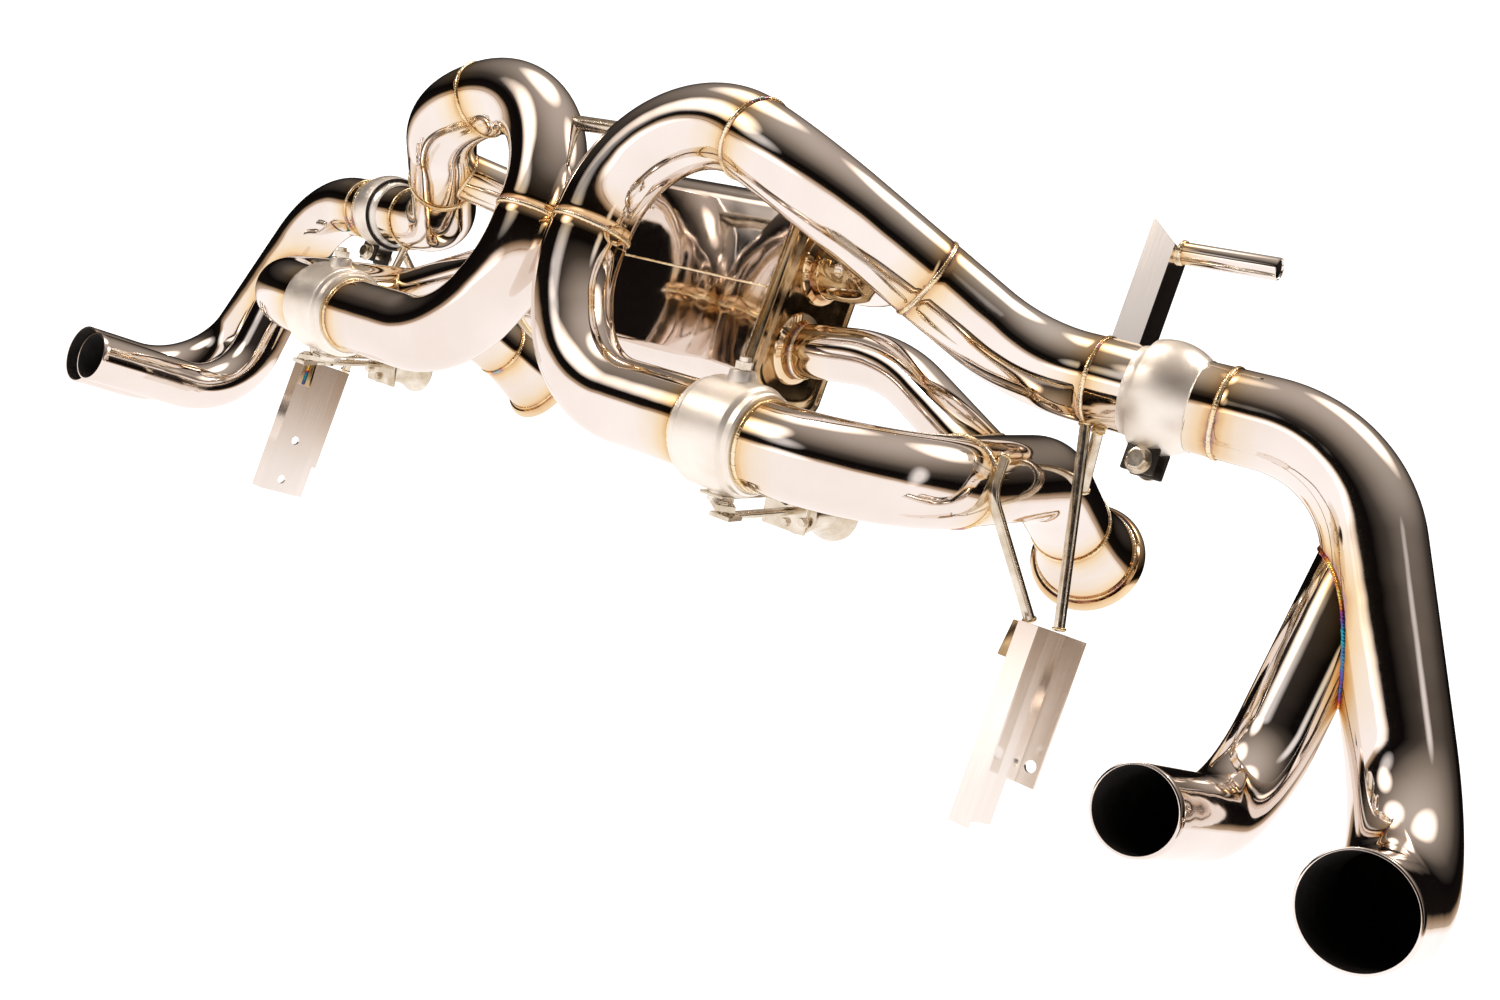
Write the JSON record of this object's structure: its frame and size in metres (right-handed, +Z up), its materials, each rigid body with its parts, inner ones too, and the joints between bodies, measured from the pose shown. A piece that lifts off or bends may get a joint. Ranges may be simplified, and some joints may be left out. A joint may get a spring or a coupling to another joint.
{
  "type": "racing exhaust system",
  "caption": "Valved exhaust system with mirrored looped main pipes, a central transverse muffler, ball-jointed tailpipes and paired outlets on each side.",
  "frame": {"origin": "midway between the two ball joint centres, on the plane of symmetry", "axes": "+X to the car's right side, +Y forward, +Z up; the tips point along -Y"},
  "size_m": [1.4694, 0.4185, 0.445],
  "materials": {
    "polished": "mirror-polished stainless steel",
    "cast": "bead-blasted steel",
    "weld": "weld bead with heat tint",
    "satin": "satin stainless steel",
    "fittings": "plated steel",
    "seal": "dark sintered or blackened metal"
  },
  "bodies": {
    "system": {"muffler_shell": "polished", "right_muffler_cap": "polished", "left_muffler_cap": "polished", "tie_rod": "satin", "right_inlet_ring": "polished", "right_inlet_cone": "polished", "right_inlet_pipe": "polished", "right_feed_pipe": "polished", "right_valve_body": "cast", "right_riser_pipe": "polished", "right_over_pipe": "polished", "right_long_pipe": "polished", "right_s_pipe": "polished", "right_ball_stub": "polished", "right_bypass_pipe": "polished", "right_outlet_pipe": "polished", "right_beads": "weld", "right_hanger_arm": "satin", "right_hanger_pin": "satin", "right_bracket": "satin", "right_struts": "satin", "right_actuator": "cast", "left_inlet_ring": "polished", "left_inlet_cone": "polished", "left_inlet_pipe": "polished", "left_feed_pipe": "polished", "left_valve_body": "cast", "left_riser_pipe": "polished", "left_over_pipe": "polished", "left_long_pipe": "polished", "left_s_pipe": "polished", "left_ball_stub": "polished", "left_bypass_pipe": "polished", "left_outlet_pipe": "polished", "left_beads": "weld", "left_hanger_arm": "satin", "left_hanger_pin": "satin", "left_bracket": "satin", "left_struts": "satin", "left_actuator": "cast"},
    "right_valve": {"right_valve_shaft": "fittings", "right_valve_disc": "satin"},
    "right_rod": {"right_actuator_rod": "fittings"},
    "right_seal": {"right_seal_ring": "seal"},
    "right_tail": {"right_socket": "cast", "right_clamp_lugs": "seal", "right_clamp_bolt": "fittings", "right_tail_pipe": "polished", "right_branch_pipe": "polished", "right_tail_beads": "weld"},
    "left_valve": {"left_valve_shaft": "fittings", "left_valve_disc": "satin"},
    "left_rod": {"left_actuator_rod": "fittings"},
    "left_seal": {"left_seal_ring": "seal"},
    "left_tail": {"left_socket": "cast", "left_clamp_lugs": "seal", "left_clamp_bolt": "fittings", "left_tail_pipe": "polished", "left_branch_pipe": "polished", "left_tail_beads": "weld"}
  },
  "joints": [
    {"name": "right_valve_open", "type": "hinge", "parent": "system", "child": "right_valve", "pos_m": [0.24, -0.172, -0.126], "axis": [0, -0.2588, 0.9659], "range_deg": [0, 80], "stiffness_Nm_per_rad": 0.15, "springref_deg": -14.32},
    {"name": "right_rod_slide", "type": "slide", "parent": "system", "child": "right_rod", "axis": [0, 0.9659, 0.2588], "range_m": [0, 0.0258]},
    {"name": "right_tail_tilt", "type": "hinge", "parent": "system", "child": "right_seal", "pos_m": [0.452, 0, 0], "axis": [-0.0948, 0.9955, 0], "range_deg": [-4, 4]},
    {"name": "right_tail_swivel", "type": "hinge", "parent": "right_seal", "child": "right_tail", "pos_m": [0.452, 0, 0], "axis": [0.9955, 0.0948, 0], "range_deg": [-12, 12]},
    {"name": "left_valve_open", "type": "hinge", "parent": "system", "child": "left_valve", "pos_m": [-0.24, -0.172, -0.126], "axis": [0, 0.2588, -0.9659], "range_deg": [0, 80], "stiffness_Nm_per_rad": 0.15, "springref_deg": -14.32},
    {"name": "left_rod_slide", "type": "slide", "parent": "system", "child": "left_rod", "axis": [0, 0.9659, 0.2588], "range_m": [0, 0.0258]},
    {"name": "left_tail_tilt", "type": "hinge", "parent": "system", "child": "left_seal", "pos_m": [-0.452, 0, 0], "axis": [-0.0948, -0.9955, 0], "range_deg": [-4, 4]},
    {"name": "left_tail_swivel", "type": "hinge", "parent": "left_seal", "child": "left_tail", "pos_m": [-0.452, 0, 0], "axis": [0.9955, -0.0948, 0], "range_deg": [-12, 12]}
  ],
  "couplings": [
    {"joint": "right_rod_slide", "follows": "right_valve_open", "m_per_rad": 0.018415},
    {"joint": "left_rod_slide", "follows": "left_valve_open", "m_per_rad": 0.018415}
  ]
}
